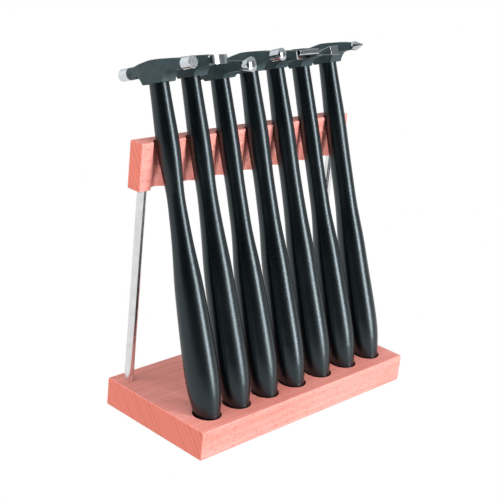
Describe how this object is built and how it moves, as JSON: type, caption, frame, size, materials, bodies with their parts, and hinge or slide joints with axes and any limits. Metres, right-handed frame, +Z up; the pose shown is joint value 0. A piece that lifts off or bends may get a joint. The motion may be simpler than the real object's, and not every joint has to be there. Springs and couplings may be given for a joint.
{
  "type": "metalsmith's hammer set on a stand",
  "caption": "Row of small metalsmith's hammers with black handles and assorted polished faces, leaning in a pink-toned beech stand with a notched rail on steel rods.",
  "frame": {"origin": "middle of the stand's underside, on the surface it stands on", "axes": "+X along the row of hammers, +Y to the back where the rail is, +Z up; the hammer heads' front faces point to -Y"},
  "size_m": [0.19, 0.1143, 0.2277],
  "materials": {
    "beech": "oiled, fine grain",
    "polished_rod": "polished",
    "black_lacquer": "satin black lacquer on wood",
    "bare_steel": "bare",
    "black_steel": "blackened, satin",
    "polished_face": "mirror polished",
    "satin_face": "satin ground"
  },
  "bodies": {
    "stand": {"stand_base": "beech", "top_rail": "beech", "left_rod": "polished_rod", "right_rod": "polished_rod"},
    "hammer_1": {"hammer_1_handle": "black_lacquer", "hammer_1_wedge": "bare_steel", "hammer_1_head": "black_steel", "hammer_1_front_face": "satin_face", "hammer_1_back_face": "satin_face"},
    "hammer_2": {"hammer_2_handle": "black_lacquer", "hammer_2_wedge": "bare_steel", "hammer_2_head": "black_steel", "hammer_2_front_face": "polished_face", "hammer_2_back_face": "satin_face"},
    "hammer_3": {"hammer_3_handle": "black_lacquer", "hammer_3_wedge": "bare_steel", "hammer_3_head": "black_steel", "hammer_3_front_face": "polished_face", "hammer_3_back_face": "satin_face"},
    "hammer_4": {"hammer_4_handle": "black_lacquer", "hammer_4_wedge": "bare_steel", "hammer_4_head": "black_steel", "hammer_4_front_face": "polished_face", "hammer_4_back_face": "satin_face"},
    "hammer_5": {"hammer_5_handle": "black_lacquer", "hammer_5_wedge": "bare_steel", "hammer_5_head": "black_steel", "hammer_5_front_face": "polished_face", "hammer_5_back_face": "satin_face"},
    "hammer_6": {"hammer_6_handle": "black_lacquer", "hammer_6_wedge": "bare_steel", "hammer_6_head": "black_steel", "hammer_6_front_face": "polished_face", "hammer_6_back_face": "satin_face"},
    "hammer_7": {"hammer_7_handle": "black_lacquer", "hammer_7_wedge": "bare_steel", "hammer_7_head": "black_steel", "hammer_7_front_face": "polished_face", "hammer_7_back_face": "satin_face"}
  },
  "joints": [
    {"name": "hammer_1_lift", "type": "slide", "parent": "stand", "child": "hammer_1", "axis": [0, 0, 1], "range_m": [0, 0.2]},
    {"name": "hammer_2_lift", "type": "slide", "parent": "stand", "child": "hammer_2", "axis": [0, 0, 1], "range_m": [0, 0.2]},
    {"name": "hammer_3_lift", "type": "slide", "parent": "stand", "child": "hammer_3", "axis": [0, 0, 1], "range_m": [0, 0.2]},
    {"name": "hammer_4_lift", "type": "slide", "parent": "stand", "child": "hammer_4", "axis": [0, 0, 1], "range_m": [0, 0.2]},
    {"name": "hammer_5_lift", "type": "slide", "parent": "stand", "child": "hammer_5", "axis": [0, 0, 1], "range_m": [0, 0.2]},
    {"name": "hammer_6_lift", "type": "slide", "parent": "stand", "child": "hammer_6", "axis": [0, 0, 1], "range_m": [0, 0.2]},
    {"name": "hammer_7_lift", "type": "slide", "parent": "stand", "child": "hammer_7", "axis": [0, 0, 1], "range_m": [0, 0.2]}
  ]
}
